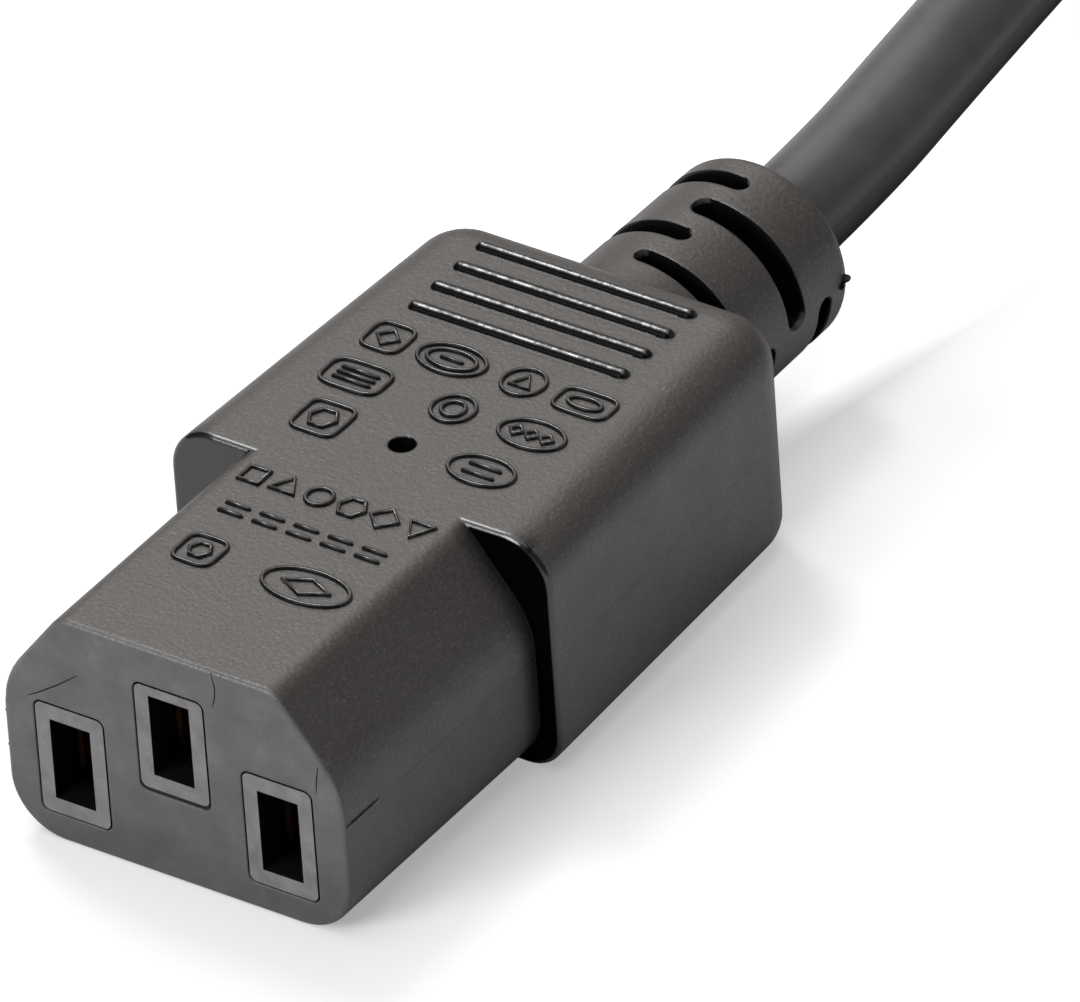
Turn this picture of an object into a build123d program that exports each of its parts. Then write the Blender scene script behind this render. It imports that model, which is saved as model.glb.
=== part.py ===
from build123d import *
import math
import os

# A short mains splitter lead: an inlet plug, a trunk cord, a moulded Y junction and two tails with sockets.
# X runs across socket A, Y from its mating face towards its cord, Z up. The origin is under its middle.
# Each connector is built in its own frame, mating face at y = 0 and underside at z = 0, then moved into place.

# How far a form runs into the one it joins, or a cutter past the surface it cuts
FUSE_OVERLAP = 1.0

# Contact layout, the same for sockets and plug
PIN_PITCH = 14.0
EARTH_RISE = 4.0
PIN_THICKNESS = 2.0
PIN_WIDTH = 4.0

# Socket nose, which enters an inlet
NOSE_WIDTH = 23.0
NOSE_HEIGHT = 15.4
NOSE_LENGTH = 18.8
NOSE_CHAMFER_ACROSS = 4.2
NOSE_CHAMFER_DOWN = 5.4
NOSE_FOOT_RADIUS = 3.5
NOSE_TOP_CORNER_RADIUS = 1.5
NOSE_SIDE_CORNER_RADIUS = 6.0
NOSE_FACE_EDGE = 0.3
LINE_HEIGHT = 5.56

# Slots and sleeves of the contact carrier
SLOT_WIDTH = 2.73
SLOT_HEIGHT = 5.36
SLEEVE_WIDTH = 4.58
SLEEVE_HEIGHT = 7.34
SLEEVE_CORNER_RADIUS = 0.45
EARTH_SLEEVE_TRIM = 0.37
SLEEVE_LENGTH = 17.6
SLEEVE_LIP = 1.6
CAVITY_WIDTH = 3.3
CAVITY_HEIGHT = 5.6
CARRIER_BASE_LENGTH = 3.9
CARRIER_WALL = 1.7
FACE_GAP = 0.12
EARTH_GAP_BELOW = 0.18
FACE_GAP_DEPTH = 0.5

# Folded contacts with a crimp barrel
CONTACT_SHEET = 0.35
CONTACT_WIDTH = 3.2
CONTACT_HEIGHT = 4.6
CONTACT_FRONT = 2.6
CONTACT_PINCH_FROM_FACE = 6.5
CONTACT_BEND_FROM_FACE = 12.0
CONTACT_PINCH_GAP = 1.6
BARREL_RADIUS = 1.5
BARREL_LENGTH = 6.8

# Cores and cord
CORE_RADIUS = 1.1
CORE_RING = 1.4
CORE_ANGLES = {"line": 210.0, "earth": 90.0, "neutral": -30.0}
CORE_BEND = 6.0
CORE_BEYOND_BARREL = 2.5
CORE_BEFORE_SHEATH = 4.0
CORD_DIAMETER = 6.4

# Socket grip body
SOCKET_BODY_WIDTH = 25.7
SOCKET_REAR_INSET = 1.15
SOCKET_BODY_LENGTH = 26.4
BODY_EDGE_RADIUS = 3.0
BODY_REAR_CORNER_RADIUS = 3.4
BODY_FOOT_RADIUS = 2.4
BODY_SHOULDER_EDGE = 0.35
PINHOLE_RADIUS = 0.82
PINHOLE_DEPTH = 3.4
PINHOLE_FROM_FACE = 23.4
RIB_COUNT = 4
RIB_PITCH = 2.27
RIB_FROM_REAR = 3.34
RIB_LENGTH = 14.9
RIB_RADIUS = 0.45
RIB_SUNK = 0.05

# Slotted strain relief
RELIEF_ABOVE_LINE = 2.0
RELIEF_LENGTH = 14.1
RELIEF_ROOT_RADIUS = 6.25
RELIEF_END_RADIUS = 6.0
RELIEF_EDGE = 0.8
RELIEF_SLOT_FLOOR = 4.3
RELIEF_SLOT_SPAN = 100.0
RELIEF_SLOT_PITCH = 2.97
RELIEF_LAST_SLOT = 2.7
RELIEF_SLOT_WIDTHS = (1.4, 1.8, 1.4, 1.3)
RELIEF_SLOT_STARTS = (-89.0, -6.0, -89.0, -6.0)
SHEATH_GRIP = 9.0

# Inlet plug
PLUG_CLEARANCE = 0.5
SHROUD_WALL = 2.2
SHROUD_EDGE = 0.5
PLUG_CAVITY_DEPTH = 18.0
BRIDGE_LENGTH = 3.5
PIN_SETBACK = 1.8
EARTH_PIN_LEAD = 0.8
PIN_TIP = 0.5
PLUG_BODY_WIDTH = 27.0
PLUG_REAR_INSET = 1.8
PLUG_BODY_LENGTH = 20.4

# Y junction
JUNCTION_WIDTH = 23.6
JUNCTION_HEIGHT = 12.6
JUNCTION_LENGTH = 20.0
JUNCTION_CORNER = 4.5
JUNCTION_EDGE = 2.2
TAIL_PITCH = 11.5
TAIL_NECK_LENGTH = 7.0
TAIL_NECK_RADIUS = 4.6
TRUNK_NECK_LENGTH = 9.0
TRUNK_NECK_ROOT_RADIUS = 5.2
TRUNK_NECK_END_RADIUS = 4.7
NECK_EDGE = 0.6
NECK_GROOVE_WIDTH = 1.2
NECK_GROOVE_DEPTH = 0.6
JUNCTION_GRIP = 10.0
SPLICE_LENGTH = 6.0
SPLICE_WIDTH = 4.9
SPLICE_HEIGHT = 2.5
SPLICE_WALL = 0.2
SPLICE_LEVEL = 2.8
SPLICE_FROM_FORK = 17.0
CORE_LAY = 30.0

# Tie strap round the two tails
TIE_WIDTH = 9.0
TIE_THICKNESS = 1.0
TIE_CLEARANCE = 0.4
TIE_SPREAD = 12.9

# Where the pieces lie on the table
SOCKET_B_X = 49.5
SOCKET_B_END = 100.0
JUNCTION_X = -0.25
JUNCTION_FORK = 158.5
PLUG_X = 43.75
PLUG_END = 232.0
TIE_Y = 115.0
TIE_X = -1.3
TIE_HEIGHT = 4.6

SOCKET_LENGTH = NOSE_LENGTH + SOCKET_BODY_LENGTH + RELIEF_LENGTH
PLUG_BODY_START = PLUG_CAVITY_DEPTH + BRIDGE_LENGTH
PLUG_LENGTH = PLUG_BODY_START + PLUG_BODY_LENGTH + RELIEF_LENGTH
PLUG_RAISE = PLUG_CLEARANCE + SHROUD_WALL
SOCKET_AXIS_HEIGHT = LINE_HEIGHT + RELIEF_ABOVE_LINE
PLUG_AXIS_HEIGHT = SOCKET_AXIS_HEIGHT + PLUG_RAISE
JUNCTION_AXIS_HEIGHT = JUNCTION_HEIGHT / 2
CORD_RADIUS = CORD_DIAMETER / 2
POLES = {"line": -1, "earth": 0, "neutral": 1}

# Cord routes over the table, each from its own end piece, in the frame of socket A.
TAIL_A_ROUTE = [
    (0.0, 20.65, 7.56),
    (0.0, 36.2, 7.56),
    (-2.4, 52.5, 6.9),
    (-5.7, 70.5, 4.9),
    (-7.8, 88.0, 3.7),
    (-8.0, 106.0, 4.3),
    (-7.5, 124.5, 4.9),
    (-6.0, 147.0, 6.3),
    (-6.0, 168.5, 6.3),
]
TAIL_B_ROUTE = [
    (5.5, 168.5, 6.3),
    (5.5, 149.0, 6.3),
    (4.8, 129.4, 4.9),
    (5.3, 109.6, 4.4),
    (5.5, 90.9, 3.6),
    (18.4, 78.0, 3.7),
    (36.6, 78.0, 5.6),
    (49.5, 90.9, 7.56),
    (49.5, 109.0, 7.56),
]
TRUNK_ROUTE = [
    (-0.25, 184.5, 6.3),
    (-0.25, 203.5, 6.3),
    (-0.6, 223.0, 5.3),
    (-0.4, 241.1, 4.6),
    (12.6, 254.0, 4.4),
    (30.9, 254.0, 7.0),
    (43.75, 241.1, 10.26),
    (43.75, 223.0, 10.26),
]


def across(y):
    """The upright plane across a connector at y, whose sketches have X to the right and Z up."""
    return Plane(origin=(0, y, 0), x_dir=(1, 0, 0), z_dir=(0, -1, 0))


def bar(face, start, end):
    """A sketch in XY stood up across the connector and pulled from start to end along Y."""
    return extrude(across(start) * face, amount=start - end)


def rod(radius, start, end, x=0.0, z=0.0):
    """A round bar along Y."""
    return bar(Pos(x, z) * Circle(radius), start, end)


def contact_places():
    """Each pole's name with its place across the connector, measured from the underside of the nose."""
    return {
        name: (side * PIN_PITCH / 2, LINE_HEIGHT + (0.0 if side else EARTH_RISE))
        for name, side in POLES.items()
    }


def nose_outline():
    """The keyed outline of the nose: two upper chamfers and rounded feet."""
    half = NOSE_WIDTH / 2
    shoulder = half - NOSE_CHAMFER_ACROSS
    side_top = NOSE_HEIGHT - NOSE_CHAMFER_DOWN
    corners = [
        (-half, 0),
        (half, 0),
        (half, side_top),
        (shoulder, NOSE_HEIGHT),
        (-shoulder, NOSE_HEIGHT),
        (-half, side_top),
    ]
    face = make_face(Polyline(*corners, close=True))
    face = fillet([v for v in face.vertices() if v.Y < side_top / 2], NOSE_FOOT_RADIUS)
    face = fillet([v for v in face.vertices() if v.Y > NOSE_HEIGHT - 0.01], NOSE_TOP_CORNER_RADIUS)
    return fillet([v for v in face.vertices() if abs(v.Y - side_top) < 0.01], NOSE_SIDE_CORNER_RADIUS)


def grip_body(front, rear, width, rear_inset, height):
    """A rounded grip, narrower at its rear by an inset on each side, with soft upper and lower edges."""
    wide = width / 2
    narrow = wide - rear_inset
    plan = make_face(
        Polyline((-wide, front), (wide, front), (narrow, rear), (-narrow, rear), close=True)
    )
    plan = fillet([v for v in plan.vertices() if v.Y > (front + rear) / 2], BODY_REAR_CORNER_RADIUS)
    body = extrude(plan, amount=height)
    upper = [e for e in body.edges().group_by(Axis.Z)[-1] if e.center().Y > front + 0.01]
    body = fillet(upper, BODY_EDGE_RADIUS)
    lower = [e for e in body.edges().group_by(Axis.Z)[0] if e.center().Y > front + 0.01]
    body = fillet(lower, BODY_FOOT_RADIUS)
    return fillet(body.faces().sort_by(Axis.Y)[0].edges(), BODY_SHOULDER_EDGE)


def turned(points, height, rounded=0.0):
    """A round form about the cord's axis at a height. Its outline is given as radius and y."""
    face = make_face(Polyline((0, points[0][1]), *points, (0, points[-1][1]), close=True))
    if rounded:
        end = max(y for _, y in points)
        face = fillet([v for v in face.vertices() if v.X > 0.1 and v.Y > end - 0.01], rounded)
    return revolve(Pos(0, 0, height) * face, axis=Axis((0, 0, height), (0, 1, 0)))


def relief_slot(y, width, start, height):
    """One slot with rounded ends, a part of a ring from start degrees clockwise of the top."""
    axis = Axis((0, 0, height), (0, 1, 0))
    outer = RELIEF_ROOT_RADIUS + FUSE_OVERLAP
    depth = outer - RELIEF_SLOT_FLOOR
    end_angle = math.degrees(width / 2 / RELIEF_END_RADIUS)
    block = Pos(RELIEF_SLOT_FLOOR + depth / 2, y, height) * Rectangle(depth, width)
    ring = revolve(block, axis=axis, revolution_arc=RELIEF_SLOT_SPAN - 2 * end_angle)
    drill = Pos(RELIEF_SLOT_FLOOR + depth / 2, y, height) * Rot(0, 90, 0) * Cylinder(width / 2, depth)
    first = start + end_angle - 90
    last = start + RELIEF_SLOT_SPAN - end_angle - 90
    slot = ring.rotate(axis, first) + drill.rotate(axis, first) + drill.rotate(axis, last)
    return slot


def strain_relief(root, height):
    """The tapered relief behind a grip body, with four rows of slots, each row cut on two opposite sides."""
    end = root + RELIEF_LENGTH
    inside = root - BODY_EDGE_RADIUS
    form = turned([(RELIEF_ROOT_RADIUS, inside), (RELIEF_END_RADIUS, end)], height, RELIEF_EDGE)
    for row, (width, start) in enumerate(zip(RELIEF_SLOT_WIDTHS, RELIEF_SLOT_STARTS)):
        y = end - RELIEF_LAST_SLOT - row * RELIEF_SLOT_PITCH
        for turn in (0, 180):
            form -= relief_slot(y, width, start + turn, height)
    return form


def core_offsets(lay=0.0):
    """Where the three cores lie in the sheath, as offsets from the cord's axis, turned by lay degrees."""
    angles = {name: math.radians(angle + lay) for name, angle in CORE_ANGLES.items()}
    return {name: (CORE_RING * math.cos(a), CORE_RING * math.sin(a)) for name, a in angles.items()}


def swept_core(points, radius=CORE_RADIUS):
    """An insulated core along straight runs with tangent bends."""
    path = FilletPolyline(*points, radius=CORE_BEND)
    section = Plane(origin=path @ 0, z_dir=path % 0) * Circle(radius)
    return sweep(section, path=path)


def connector_cores(terminal_y, sheath_y, axis_height, raise_by=0.0):
    """The three cores of a connector, from the back of each terminal to the cut end of the sheath."""
    cores = {}
    for name, (x, z) in contact_places().items():
        offset_x, offset_z = core_offsets()[name]
        cores[name] = swept_core(
            [
                (x, terminal_y, z + raise_by),
                (x, terminal_y + BARREL_LENGTH + CORE_BEYOND_BARREL, z + raise_by),
                (offset_x, sheath_y - CORE_BEFORE_SHEATH, axis_height + offset_z),
                (offset_x, sheath_y, axis_height + offset_z),
            ]
        )
    return cores


def barrel(x, z, start):
    """The crimp barrel of a contact or pin, which grips its core."""
    end = start + BARREL_LENGTH
    return rod(BARREL_RADIUS, start, end, x, z) - rod(CORE_RADIUS, start, end, x, z)


def socket_contact(x, z):
    """A folded contact: two leaves that pinch the pin, a web behind them and a crimp barrel."""
    outer = CONTACT_WIDTH / 2
    pinch = CONTACT_PINCH_GAP / 2 + CONTACT_SHEET
    line = [
        (outer, SLEEVE_LENGTH),
        (outer, CONTACT_BEND_FROM_FACE),
        (pinch, CONTACT_PINCH_FROM_FACE),
        (outer - 0.1, CONTACT_FRONT),
    ]
    inner = [(px - CONTACT_SHEET, py) for px, py in reversed(line)]
    leaf = make_face(Polyline(*line, *inner, close=True))
    web = Pos(0, SLEEVE_LENGTH - CONTACT_SHEET / 2) * Rectangle(CONTACT_WIDTH, CONTACT_SHEET)
    plan = leaf + mirror(leaf, about=Plane.YZ) + web
    folded = extrude(Pos(x, 0, z - CONTACT_HEIGHT / 2) * plan, amount=CONTACT_HEIGHT)
    return folded + barrel(x, z, SLEEVE_LENGTH)


def sleeve_outline(name, gap=0.0, below=0.0):
    """A sleeve's outline at its place, grown by a gap all round and by more below. The earth's is trimmed."""
    x, z = contact_places()[name]
    trim = EARTH_SLEEVE_TRIM if name == "earth" else 0.0
    top = z + SLEEVE_HEIGHT / 2 - trim + gap
    bottom = z - SLEEVE_HEIGHT / 2 - gap - below
    outline = RectangleRounded(SLEEVE_WIDTH + 2 * gap, top - bottom, SLEEVE_CORNER_RADIUS + gap)
    return Pos(x, (top + bottom) / 2) * outline


def carrier_form():
    """The outside of the contact carrier: three sleeves that stand on a keyed base plate."""
    base = offset(nose_outline(), amount=-CARRIER_WALL, kind=Kind.INTERSECTION)
    form = bar(base, SLEEVE_LENGTH, SLEEVE_LENGTH + CARRIER_BASE_LENGTH)
    for name in contact_places():
        form += bar(sleeve_outline(name), 0, SLEEVE_LENGTH)
    return form


def contact_carrier():
    """The hard insert: each sleeve has a slot at its mouth, a wider cavity behind it and a barrel hole."""
    form = carrier_form()
    for x, z in contact_places().values():
        form -= bar(Pos(x, z) * Rectangle(SLOT_WIDTH, SLOT_HEIGHT), 0, SLEEVE_LIP)
        form -= bar(Pos(x, z) * Rectangle(CAVITY_WIDTH, CAVITY_HEIGHT), SLEEVE_LIP, SLEEVE_LENGTH)
        form -= rod(BARREL_RADIUS, SLEEVE_LENGTH, SLEEVE_LENGTH + CARRIER_BASE_LENGTH, x, z)
    return form


def socket_pieces():
    """One socket: overmould, carrier, contacts and cores."""
    sheath_y = SOCKET_LENGTH - SHEATH_GRIP
    body_end = NOSE_LENGTH + SOCKET_BODY_LENGTH
    cores = connector_cores(SLEEVE_LENGTH, sheath_y, SOCKET_AXIS_HEIGHT)
    nose = bar(nose_outline(), 0, NOSE_LENGTH + FUSE_OVERLAP)
    nose = fillet(nose.faces().sort_by(Axis.Y)[0].edges(), NOSE_FACE_EDGE)
    form = nose + grip_body(NOSE_LENGTH, body_end, SOCKET_BODY_WIDTH, SOCKET_REAR_INSET, NOSE_HEIGHT)
    form += strain_relief(body_end, SOCKET_AXIS_HEIGHT)
    for row in range(RIB_COUNT):
        rib_y = body_end - RIB_FROM_REAR - row * RIB_PITCH
        form += Pos(0, rib_y, NOSE_HEIGHT - RIB_SUNK) * rounded_rib()
    form -= Pos(0, PINHOLE_FROM_FACE, NOSE_HEIGHT - PINHOLE_DEPTH / 2) * Cylinder(PINHOLE_RADIUS, PINHOLE_DEPTH)
    form -= carrier_form()
    for name, (x, z) in contact_places().items():
        below = EARTH_GAP_BELOW if name == "earth" else 0.0
        form -= bar(sleeve_outline(name, FACE_GAP, below), 0, FACE_GAP_DEPTH)
        form -= rod(BARREL_RADIUS, SLEEVE_LENGTH, SLEEVE_LENGTH + BARREL_LENGTH, x, z)
    for core in cores.values():
        form -= core
    form -= rod(CORD_RADIUS, sheath_y, SOCKET_LENGTH, 0, SOCKET_AXIS_HEIGHT)
    pieces = {"socket_housing": form, "contact_carrier": contact_carrier()}
    for name, (x, z) in contact_places().items():
        pieces[f"{name}_contact"] = socket_contact(x, z)
        pieces[f"{name}_core"] = cores[name]
    return pieces


def rounded_rib():
    """One grip rib: a bead with ball ends, lying across the connector."""
    straight = RIB_LENGTH - 2 * RIB_RADIUS
    bead = Rot(0, 90, 0) * Cylinder(RIB_RADIUS, straight)
    for side in (-1, 1):
        bead += Pos(side * straight / 2, 0, 0) * Sphere(RIB_RADIUS)
    return bead


def plug_pin(x, z, lead):
    """A flat pin with a bevelled tip and a crimp barrel behind the bridge."""
    tip = PIN_SETBACK - lead
    blade = bar(Pos(x, z) * Rectangle(PIN_THICKNESS, PIN_WIDTH), tip, PLUG_BODY_START)
    blade = chamfer(blade.faces().sort_by(Axis.Y)[0].edges(), PIN_TIP)
    return blade + barrel(x, z, PLUG_BODY_START)


def shroud_outline(grow):
    """The nose outline of a socket grown evenly all round."""
    return offset(nose_outline(), amount=grow, kind=Kind.ARC)


def plug_pieces():
    """The inlet plug: shroud with bridge, overmould, pins and cores."""
    sheath_y = PLUG_LENGTH - SHEATH_GRIP
    body_end = PLUG_BODY_START + PLUG_BODY_LENGTH
    height = NOSE_HEIGHT + 2 * PLUG_RAISE
    raised = Pos(0, PLUG_RAISE)
    shroud = bar(raised * shroud_outline(PLUG_RAISE), 0, PLUG_BODY_START)
    shroud = fillet(shroud.faces().sort_by(Axis.Y)[0].edges(), SHROUD_EDGE)
    shroud -= bar(raised * shroud_outline(PLUG_CLEARANCE), 0, PLUG_CAVITY_DEPTH)
    cores = connector_cores(PLUG_BODY_START, sheath_y, PLUG_AXIS_HEIGHT, PLUG_RAISE)
    form = grip_body(PLUG_BODY_START, body_end, PLUG_BODY_WIDTH, PLUG_REAR_INSET, height)
    form += strain_relief(body_end, PLUG_AXIS_HEIGHT)
    pieces = {}
    for name, (x, z) in contact_places().items():
        z = z + PLUG_RAISE
        pin = plug_pin(x, z, EARTH_PIN_LEAD if name == "earth" else 0.0)
        shroud -= bar(Pos(x, z) * Rectangle(PIN_THICKNESS, PIN_WIDTH), PLUG_CAVITY_DEPTH, PLUG_BODY_START)
        form -= rod(BARREL_RADIUS, PLUG_BODY_START, PLUG_BODY_START + BARREL_LENGTH, x, z)
        form -= cores[name]
        pieces[f"plug_{name}_pin"] = pin
        pieces[f"plug_{name}_core"] = cores[name]
    form -= rod(CORD_RADIUS, sheath_y, PLUG_LENGTH, 0, PLUG_AXIS_HEIGHT)
    pieces["plug_shroud"] = shroud
    pieces["plug_housing"] = form
    return pieces


def neck(root_radius, end_radius, inside, end, x):
    """A short relief neck of the junction, with one shallow groove round it."""
    form = turned([(root_radius, inside), (end_radius, end)], JUNCTION_AXIS_HEIGHT, NECK_EDGE)
    groove_y = end - 2.5 * NECK_GROOVE_WIDTH
    groove = rod(root_radius + FUSE_OVERLAP, groove_y, groove_y + NECK_GROOVE_WIDTH, 0, JUNCTION_AXIS_HEIGHT)
    groove -= rod(end_radius - NECK_GROOVE_DEPTH, groove_y, groove_y + NECK_GROOVE_WIDTH, 0, JUNCTION_AXIS_HEIGHT)
    return Pos(x, 0, 0) * (form - groove)


def junction_pieces():
    """The Y junction. Its fork faces y = 0 and its trunk leaves towards +Y."""
    front = TAIL_NECK_LENGTH
    rear = front + JUNCTION_LENGTH
    length = rear + TRUNK_NECK_LENGTH
    plan = Pos(0, (front + rear) / 2) * RectangleRounded(JUNCTION_WIDTH, JUNCTION_LENGTH, JUNCTION_CORNER)
    form = extrude(plan, amount=JUNCTION_HEIGHT)
    rims = form.edges().group_by(Axis.Z)
    form = fillet(rims[-1] + rims[0], JUNCTION_EDGE)
    turn = Pos(0, front, 0) * Rot(0, 0, 180)
    for side in (-1, 1):
        arm = turn * neck(TAIL_NECK_RADIUS, TAIL_NECK_RADIUS, -JUNCTION_CORNER, front, 0)
        form += Pos(side * TAIL_PITCH / 2, 0, 0) * arm
    form += neck(TRUNK_NECK_ROOT_RADIUS, TRUNK_NECK_END_RADIUS, rear - JUNCTION_CORNER, length, 0)
    pieces = {}
    splice_end = SPLICE_FROM_FORK + SPLICE_LENGTH
    beside = SPLICE_WIDTH / 2 - CORE_RADIUS - SPLICE_WALL
    level = {"line": -1, "neutral": 0, "earth": 1}
    for name, step in level.items():
        z = JUNCTION_AXIS_HEIGHT + step * SPLICE_LEVEL
        ferrule = SlotOverall(SPLICE_WIDTH, SPLICE_HEIGHT)
        pieces[f"{name}_splice"] = bar(Pos(0, z) * ferrule, SPLICE_FROM_FORK, splice_end)
        offset_x, offset_z = core_offsets(CORE_LAY)[name]
        start_z = JUNCTION_AXIS_HEIGHT + offset_z
        trunk_end = (offset_x, length - JUNCTION_GRIP, start_z)
        pieces[f"{name}_trunk_core"] = straight_core((0, splice_end, z), trunk_end)
        for side, tail in ((-1, "a"), (1, "b")):
            tail_end = (side * TAIL_PITCH / 2 + offset_x, JUNCTION_GRIP, start_z)
            spliced = (side * beside, SPLICE_FROM_FORK, z)
            pieces[f"{name}_tail_core_{tail}"] = straight_core(tail_end, spliced)
    for piece in pieces.values():
        form -= piece
    for side in (-1, 1):
        form -= rod(CORD_RADIUS, 0, JUNCTION_GRIP, side * TAIL_PITCH / 2, JUNCTION_AXIS_HEIGHT)
    form -= rod(CORD_RADIUS, length - JUNCTION_GRIP, length, 0, JUNCTION_AXIS_HEIGHT)
    pieces["junction_housing"] = form
    return pieces


def straight_core(start, end):
    """A core that runs straight between two faces that lie across the junction."""
    return loft([across(y) * Pos(x, z) * Circle(CORE_RADIUS) for x, y, z in (start, end)])


def cord(route):
    """A plain round cord: straight runs joined by arcs as large as the two runs beside them allow."""
    points = [Vector(*p) for p in route]
    radii = []
    for before, here, after in zip(points, points[1:], points[2:]):
        arriving = here - before
        leaving = after - here
        half_turn = math.radians(arriving.get_angle(leaving)) / 2
        radii.append(0.45 * min(arriving.length, leaving.length) / math.tan(half_turn))
    path = FilletPolyline(*route, radius=radii)
    section = Plane(origin=path @ 0, z_dir=path % 0) * Circle(CORD_RADIUS)
    return sweep(section, path=path), path.length, radii


def tie_strap():
    """A strap closed round the two tails, with a small overlap bump on top."""
    inner_width = TIE_SPREAD + CORD_DIAMETER + 2 * TIE_CLEARANCE
    inner_height = CORD_DIAMETER + 2 * TIE_CLEARANCE
    outer = SlotOverall(inner_width + 2 * TIE_THICKNESS, inner_height + 2 * TIE_THICKNESS)
    ring = Pos(TIE_X, TIE_HEIGHT) * (outer - SlotOverall(inner_width, inner_height))
    lap_height = TIE_HEIGHT + inner_height / 2 + TIE_THICKNESS
    lap = Pos(TIE_X, lap_height + TIE_THICKNESS / 2) * Rectangle(inner_width / 2, TIE_THICKNESS)
    return bar(ring + lap, TIE_Y - TIE_WIDTH / 2, TIE_Y + TIE_WIDTH / 2)


def main():
    os.makedirs("parts", exist_ok=True)
    pieces = {}
    socket = socket_pieces()
    place_a = Pos(0, -SOCKET_LENGTH / 2, 0)
    place_b = Pos(SOCKET_B_X, SOCKET_B_END + SOCKET_LENGTH, 0) * Rot(0, 0, 180)
    for name, piece in socket.items():
        pieces[f"{name}_a"] = place_a * piece
        pieces[f"{name}_b"] = place_b * piece
    for name, piece in plug_pieces().items():
        pieces[name] = Pos(PLUG_X, PLUG_END - PLUG_LENGTH, 0) * piece
    for name, piece in junction_pieces().items():
        pieces[name] = Pos(JUNCTION_X, JUNCTION_FORK, 0) * piece
    pieces["cord_tie"] = tie_strap()
    routes = {"tail_cord_a": TAIL_A_ROUTE, "tail_cord_b": TAIL_B_ROUTE, "trunk_cord": TRUNK_ROUTE}
    for name, route in routes.items():
        pieces[name], length, radii = cord(route)
        tube = math.pi * CORD_RADIUS**2 * length
        print(name, "length", round(length, 1), "radii", [round(r, 1) for r in radii])
        print(name, "volume", round(pieces[name].volume, 1), "section times length", round(tube, 1))
    for name, piece in pieces.items():
        export_step(piece, f"parts/{name}.step")
    print(len(pieces), "pieces; socket", SOCKET_LENGTH, "plug", PLUG_LENGTH)


main()
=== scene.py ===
import math

import bmesh
import bpy
from mathutils import Matrix, Vector


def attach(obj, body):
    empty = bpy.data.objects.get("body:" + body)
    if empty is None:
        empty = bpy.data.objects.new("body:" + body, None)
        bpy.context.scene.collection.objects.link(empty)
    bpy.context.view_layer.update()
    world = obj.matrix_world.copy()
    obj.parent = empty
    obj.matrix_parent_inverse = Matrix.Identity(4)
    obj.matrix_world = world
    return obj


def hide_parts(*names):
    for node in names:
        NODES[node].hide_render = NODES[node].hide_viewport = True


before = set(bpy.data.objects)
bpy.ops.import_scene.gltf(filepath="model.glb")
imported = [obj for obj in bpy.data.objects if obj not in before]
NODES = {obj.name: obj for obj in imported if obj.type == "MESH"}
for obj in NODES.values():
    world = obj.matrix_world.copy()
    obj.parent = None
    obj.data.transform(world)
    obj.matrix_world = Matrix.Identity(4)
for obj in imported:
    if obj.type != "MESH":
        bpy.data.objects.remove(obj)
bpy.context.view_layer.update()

# The scene is in metres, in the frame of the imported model. Socket A, which the photograph shows, lies
# on the origin with its mating face towards -Y, and its cord leaves it towards +Y. Sizes and places on the
# object are named in millimetres and turned into metres where they are used. Lights are placed in metres.
MM = 0.001
BODY = "root"

# The photograph's camera, from a fit on the socket's outline and contact slots
CAMERA_AT = (566.49, -767.46, 666.40)
CAMERA_AZIMUTH = 36.2073
CAMERA_ELEVATION = 34.6384
CAMERA_ROLL = -4.0897
FOCAL_PIXELS = 20614.46
FRAME_WIDTH_PIXELS = 1080
SENSOR_WIDTH = 36.0

# Sizes and places that scene.py shares with the CAD. Those "from the face" lie behind a mating face.
SOCKET_HALF_LENGTH = 29.65
SOCKET_TOP = 15.4
SOCKET_B_X = 49.5
SOCKET_B_FACE_Y = 159.3
NOSE_HALF_WIDTH = 11.5
NOSE_LENGTH = 18.8
BODY_HALF_WIDTH = 12.85
BODY_REAR_INSET = 1.15
BODY_LENGTH = 26.4
PARTING_HEIGHT = 7.65
PINHOLE_FROM_FACE = 23.4
RELIEF_FROM_FACE = 52.25
SOCKET_CORD_HEIGHT = 7.56
CORD_DIAMETER = 6.4

# Each cord's points
TAIL_A_ROUTE = [
    (0.0, 20.65, 7.56),
    (0.0, 36.2, 7.56),
    (-2.4, 52.5, 6.9),
    (-5.7, 70.5, 4.9),
    (-7.8, 88.0, 3.7),
    (-8.0, 106.0, 4.3),
    (-7.5, 124.5, 4.9),
    (-6.0, 147.0, 6.3),
    (-6.0, 168.5, 6.3),
]
TAIL_B_ROUTE = [
    (5.5, 168.5, 6.3),
    (5.5, 149.0, 6.3),
    (4.8, 129.4, 4.9),
    (5.3, 109.6, 4.4),
    (5.5, 90.9, 3.6),
    (18.4, 78.0, 3.7),
    (36.6, 78.0, 5.6),
    (49.5, 90.9, 7.56),
    (49.5, 109.0, 7.56),
]
TRUNK_ROUTE = [
    (-0.25, 184.5, 6.3),
    (-0.25, 203.5, 6.3),
    (-0.6, 223.0, 5.3),
    (-0.4, 241.1, 4.6),
    (12.6, 254.0, 4.4),
    (30.9, 254.0, 7.0),
    (43.75, 241.1, 10.26),
    (43.75, 223.0, 10.26),
]


# Camera


def camera_axes(azimuth, elevation, roll):
    """The camera's right, up and backward directions."""
    a, e, r = (math.radians(v) for v in (azimuth, elevation, roll))
    back = Vector((math.sin(a) * math.cos(e), -math.cos(a) * math.cos(e), math.sin(e)))
    level_right = Vector((math.cos(a), math.sin(a), 0))
    level_up = back.cross(level_right)
    right = math.cos(r) * level_right + math.sin(r) * level_up
    up = math.cos(r) * level_up - math.sin(r) * level_right
    return right, up, back


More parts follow.
